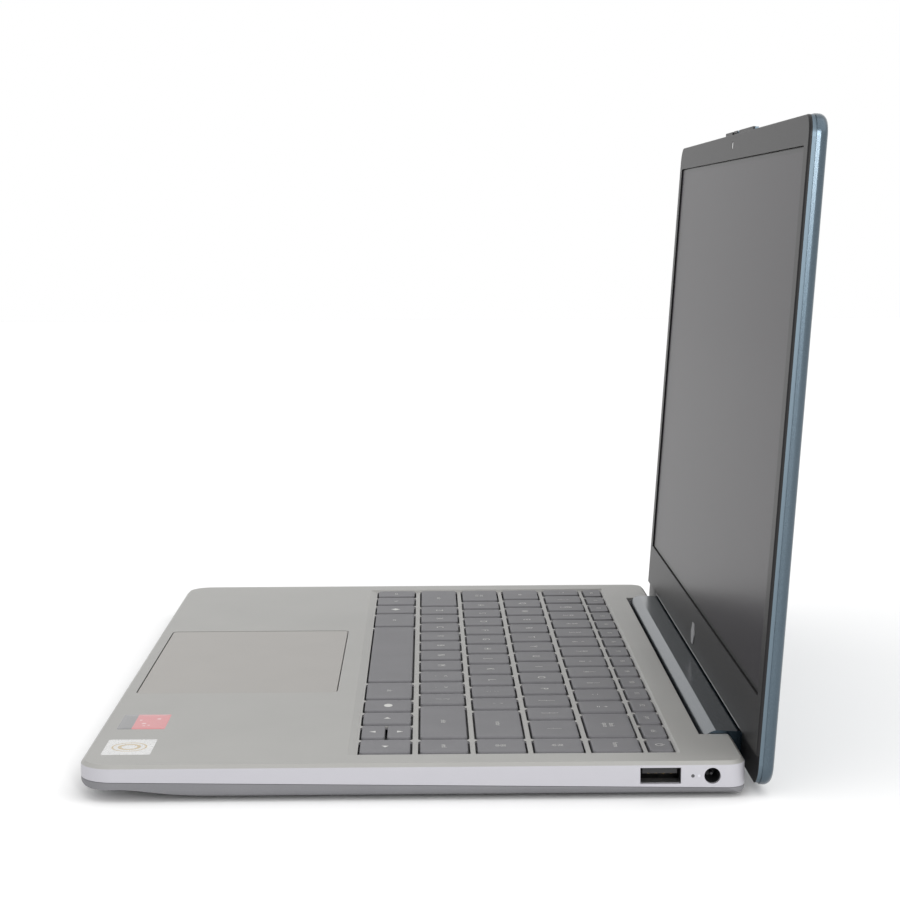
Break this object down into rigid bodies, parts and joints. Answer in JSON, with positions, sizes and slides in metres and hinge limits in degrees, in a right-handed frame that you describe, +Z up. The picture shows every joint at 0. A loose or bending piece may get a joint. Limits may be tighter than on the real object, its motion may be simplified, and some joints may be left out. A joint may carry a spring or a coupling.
{
  "type": "laptop computer",
  "caption": "Slim 14 inch laptop computer, silver base with grey keys and touchpad, dark blue lid open upright.",
  "frame": {"origin": "on the table under the middle of the open laptop", "axes": "+X to the user's right, +Y to the back, +Z up"},
  "size_m": [0.324, 0.2351, 0.2156],
  "materials": {
    "silver_deck": "silver paint with a fine metallic grain",
    "bottom_plastic": "moulded, fine texture",
    "touchpad_plastic": "satin",
    "keycap": "fine matte texture",
    "rubber": "matte",
    "steel": "stamped",
    "port_steel": "stamped, nickel plated",
    "inner_plastic": "moulded",
    "battery_wrap": "film wrap",
    "circuit_board": "solder mask",
    "copper": "bare copper",
    "light_guide": "clear",
    "blue_lid": "satin metallic paint",
    "dark_bezel": "satin",
    "screen": "anti-glare film",
    "badge_metal": "satin"
  },
  "bodies": {
    "base": {"top_cover": "silver_deck", "bottom_cover": "bottom_plastic", "case_screws": "steel", "front_feet": "rubber", "rear_foot": "rubber", "touchpad_bracket": "steel", "keyboard_plate": "steel", "keyboard_membrane": "inner_plastic", "key_domes": "rubber", "key_scissors": "inner_plastic", "battery": "battery_wrap", "mainboard": "circuit_board", "memory_module": "circuit_board", "solid_state_drive": "circuit_board", "wireless_card": "circuit_board", "speaker_left": "inner_plastic", "speaker_right": "inner_plastic", "fan_housing": "inner_plastic", "heatsink": "copper", "usb_a_right": "port_steel", "usb_a_left": "port_steel", "hdmi_left": "port_steel", "usb_c_left": "port_steel", "dc_jack": "inner_plastic", "audio_jack_left": "inner_plastic", "status_lights": "light_guide", "hinge_bracket_left": "steel", "hinge_bracket_right": "steel"},
    "lid": {"lid_shell": "blue_lid", "bezel": "dark_bezel", "display_panel": "screen", "webcam": "dark_bezel", "hinge_cover": "blue_lid", "hinge_arm_left": "steel", "hinge_arm_right": "steel", "display_cable": "inner_plastic", "chin_badge": "badge_metal"},
    "shutter": {"privacy_shutter": "dark_bezel"},
    "impeller": {"fan_impeller": "inner_plastic"},
    "touchpad": {"touchpad": "touchpad_plastic"},
    "key_escape": {"key_escape": "keycap"},
    "keys_function": {"keys_function": "keycap"},
    "key_power": {"key_power": "keycap"},
    "keys_number": {"keys_number": "keycap"},
    "key_backspace": {"key_backspace": "keycap"},
    "key_tab": {"key_tab": "keycap"},
    "keys_upper_letter": {"keys_upper_letter": "keycap"},
    "key_caps_lock": {"key_caps_lock": "keycap"},
    "keys_home_letter": {"keys_home_letter": "keycap"},
    "key_enter": {"key_enter": "keycap"},
    "key_left_shift": {"key_left_shift": "keycap"},
    "keys_lower_letter": {"keys_lower_letter": "keycap"},
    "key_right_shift": {"key_right_shift": "keycap"},
    "keys_modifier": {"keys_modifier": "keycap"},
    "key_space": {"key_space": "keycap"},
    "key_arrow_left": {"key_arrow_left": "keycap"},
    "key_arrow_down": {"key_arrow_down": "keycap"},
    "key_arrow_up": {"key_arrow_up": "keycap"},
    "key_arrow_right": {"key_arrow_right": "keycap"},
    "keys_navigation": {"keys_navigation": "keycap"}
  },
  "joints": [
    {"name": "lid_hinge", "type": "hinge", "parent": "base", "child": "lid", "pos_m": [0, 0.0913, 0.0068], "axis": [1, 0, 0], "range_deg": [-16, 94.1]},
    {"name": "shutter_slide", "type": "slide", "parent": "lid", "child": "shutter", "axis": [1, 0, 0], "range_m": [0, 0.0065]},
    {"name": "fan_spin", "type": "hinge", "parent": "base", "child": "impeller", "pos_m": [-0.082, 0.0414, 0.005], "axis": [0, 0, 1], "continuous": true},
    {"name": "touchpad_press", "type": "hinge", "parent": "base", "child": "touchpad", "pos_m": [0.0026, -0.0403, 0.0113], "axis": [1, 0, 0], "range_deg": [0, 0.4], "stiffness_Nm_per_rad": 8, "springref_deg": -0.23},
    {"name": "key_escape_press", "type": "slide", "parent": "base", "child": "key_escape", "axis": [0, 0, -1], "range_m": [0, 0.00125], "stiffness_N_per_m": 300, "springref_m": -0.0008},
    {"name": "keys_function_press", "type": "slide", "parent": "base", "child": "keys_function", "axis": [0, 0, -1], "range_m": [0, 0.00125], "stiffness_N_per_m": 4200, "springref_m": -0.0008},
    {"name": "key_power_press", "type": "slide", "parent": "base", "child": "key_power", "axis": [0, 0, -1], "range_m": [0, 0.00125], "stiffness_N_per_m": 300, "springref_m": -0.0008},
    {"name": "keys_number_press", "type": "slide", "parent": "base", "child": "keys_number", "axis": [0, 0, -1], "range_m": [0, 0.00125], "stiffness_N_per_m": 3900, "springref_m": -0.0008},
    {"name": "key_backspace_press", "type": "slide", "parent": "base", "child": "key_backspace", "axis": [0, 0, -1], "range_m": [0, 0.00125], "stiffness_N_per_m": 300, "springref_m": -0.0008},
    {"name": "key_tab_press", "type": "slide", "parent": "base", "child": "key_tab", "axis": [0, 0, -1], "range_m": [0, 0.00125], "stiffness_N_per_m": 300, "springref_m": -0.0008},
    {"name": "keys_upper_letter_press", "type": "slide", "parent": "base", "child": "keys_upper_letter", "axis": [0, 0, -1], "range_m": [0, 0.00125], "stiffness_N_per_m": 3900, "springref_m": -0.0008},
    {"name": "key_caps_lock_press", "type": "slide", "parent": "base", "child": "key_caps_lock", "axis": [0, 0, -1], "range_m": [0, 0.00125], "stiffness_N_per_m": 300, "springref_m": -0.0008},
    {"name": "keys_home_letter_press", "type": "slide", "parent": "base", "child": "keys_home_letter", "axis": [0, 0, -1], "range_m": [0, 0.00125], "stiffness_N_per_m": 3300, "springref_m": -0.0008},
    {"name": "key_enter_press", "type": "slide", "parent": "base", "child": "key_enter", "axis": [0, 0, -1], "range_m": [0, 0.00125], "stiffness_N_per_m": 300, "springref_m": -0.0008},
    {"name": "key_left_shift_press", "type": "slide", "parent": "base", "child": "key_left_shift", "axis": [0, 0, -1], "range_m": [0, 0.00125], "stiffness_N_per_m": 300, "springref_m": -0.0008},
    {"name": "keys_lower_letter_press", "type": "slide", "parent": "base", "child": "keys_lower_letter", "axis": [0, 0, -1], "range_m": [0, 0.00125], "stiffness_N_per_m": 3000, "springref_m": -0.0008},
    {"name": "key_right_shift_press", "type": "slide", "parent": "base", "child": "key_right_shift", "axis": [0, 0, -1], "range_m": [0, 0.00125], "stiffness_N_per_m": 300, "springref_m": -0.0008},
    {"name": "keys_modifier_press", "type": "slide", "parent": "base", "child": "keys_modifier", "axis": [0, 0, -1], "range_m": [0, 0.00125], "stiffness_N_per_m": 1800, "springref_m": -0.0008},
    {"name": "key_space_press", "type": "slide", "parent": "base", "child": "key_space", "axis": [0, 0, -1], "range_m": [0, 0.00125], "stiffness_N_per_m": 300, "springref_m": -0.0008},
    {"name": "key_arrow_left_press", "type": "slide", "parent": "base", "child": "key_arrow_left", "axis": [0, 0, -1], "range_m": [0, 0.00125], "stiffness_N_per_m": 300, "springref_m": -0.0008},
    {"name": "key_arrow_down_press", "type": "slide", "parent": "base", "child": "key_arrow_down", "axis": [0, 0, -1], "range_m": [0, 0.00125], "stiffness_N_per_m": 300, "springref_m": -0.0008},
    {"name": "key_arrow_up_press", "type": "slide", "parent": "base", "child": "key_arrow_up", "axis": [0, 0, -1], "range_m": [0, 0.00125], "stiffness_N_per_m": 300, "springref_m": -0.0008},
    {"name": "key_arrow_right_press", "type": "slide", "parent": "base", "child": "key_arrow_right", "axis": [0, 0, -1], "range_m": [0, 0.00125], "stiffness_N_per_m": 300, "springref_m": -0.0008},
    {"name": "keys_navigation_press", "type": "slide", "parent": "base", "child": "keys_navigation", "axis": [0, 0, -1], "range_m": [0, 0.00125], "stiffness_N_per_m": 1200, "springref_m": -0.0008}
  ]
}
